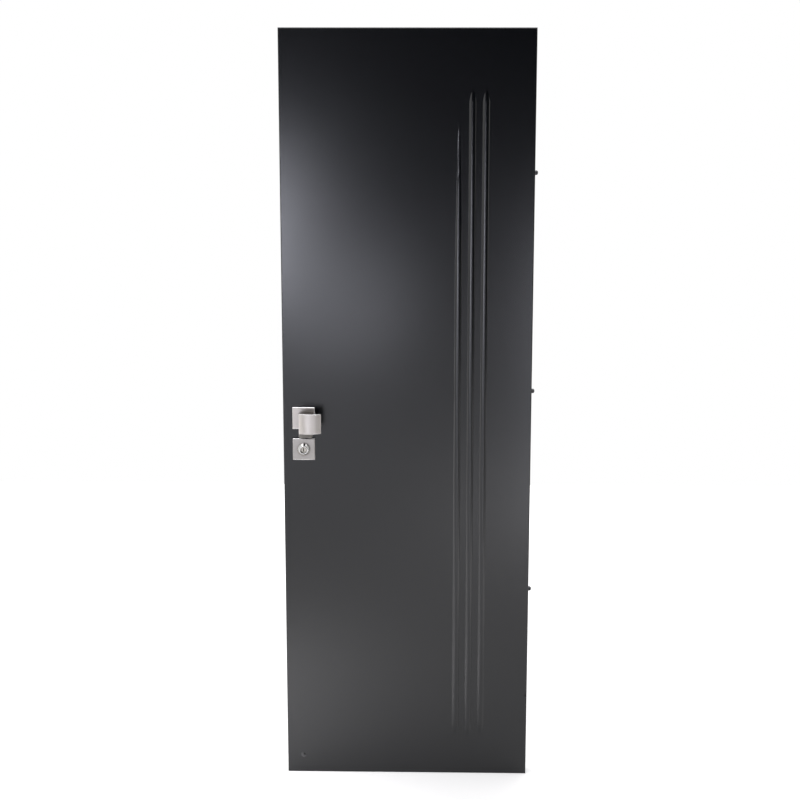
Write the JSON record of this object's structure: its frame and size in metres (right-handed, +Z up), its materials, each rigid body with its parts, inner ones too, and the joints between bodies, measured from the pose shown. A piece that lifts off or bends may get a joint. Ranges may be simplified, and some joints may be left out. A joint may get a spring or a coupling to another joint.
{
  "type": "steel security door leaf",
  "caption": "Flush steel security door leaf with pressed upright ribs, a cranked pull knob and a guarded key cylinder on square rosettes, and stud pins on the hinge edge.",
  "frame": {"origin": "on the flat face of the hinge edge, at its foot, halfway through the leaf's thickness", "axes": "+X out of the hinge edge, +Z up, and the front, with the knob, faces -Y"},
  "size_m": [0.668, 0.1745, 2.03],
  "materials": {
    "door_paint": "satin charcoal powder coat",
    "edge_profile": "satin dark powder coat",
    "satin_steel": "satin, brushed",
    "polished_steel": "polished",
    "plated_brass": "nickel plated",
    "lock_steel": "brushed",
    "zinc_steel": "zinc plated",
    "dark_steel": "blackened"
  },
  "bodies": {
    "leaf": {"front_skin": "door_paint", "back_skin": "door_paint", "hinge_stile": "edge_profile", "lock_stile": "edge_profile", "top_rail": "edge_profile", "bottom_rail": "edge_profile", "knob_rosette": "satin_steel", "knob_neck": "satin_steel", "knob_grip": "satin_steel", "cylinder_rosette": "satin_steel", "inner_lever_rosette": "satin_steel", "inner_lever": "satin_steel", "inner_cylinder_rosette": "satin_steel", "cylinder_guard": "polished_steel", "cylinder_body": "plated_brass", "inner_plug": "plated_brass", "lock_faceplate": "lock_steel", "latch_bolt": "lock_steel", "dead_bolt_1": "lock_steel", "dead_bolt_2": "lock_steel", "dead_bolt_3": "lock_steel", "lock_case": "zinc_steel", "hinge_plate_upper": "zinc_steel", "hinge_plate_middle": "zinc_steel", "hinge_plate_lower": "zinc_steel", "hinge_pin_upper": "dark_steel", "hinge_pin_middle": "dark_steel", "hinge_pin_lower": "dark_steel"},
    "plug": {"key_plug": "plated_brass"}
  },
  "joints": [
    {"name": "key_turn", "type": "hinge", "parent": "leaf", "child": "plug", "pos_m": [-0.605, -0.0365, 0.928], "axis": [0, -1, 0], "range_deg": [-90, 360]}
  ]
}
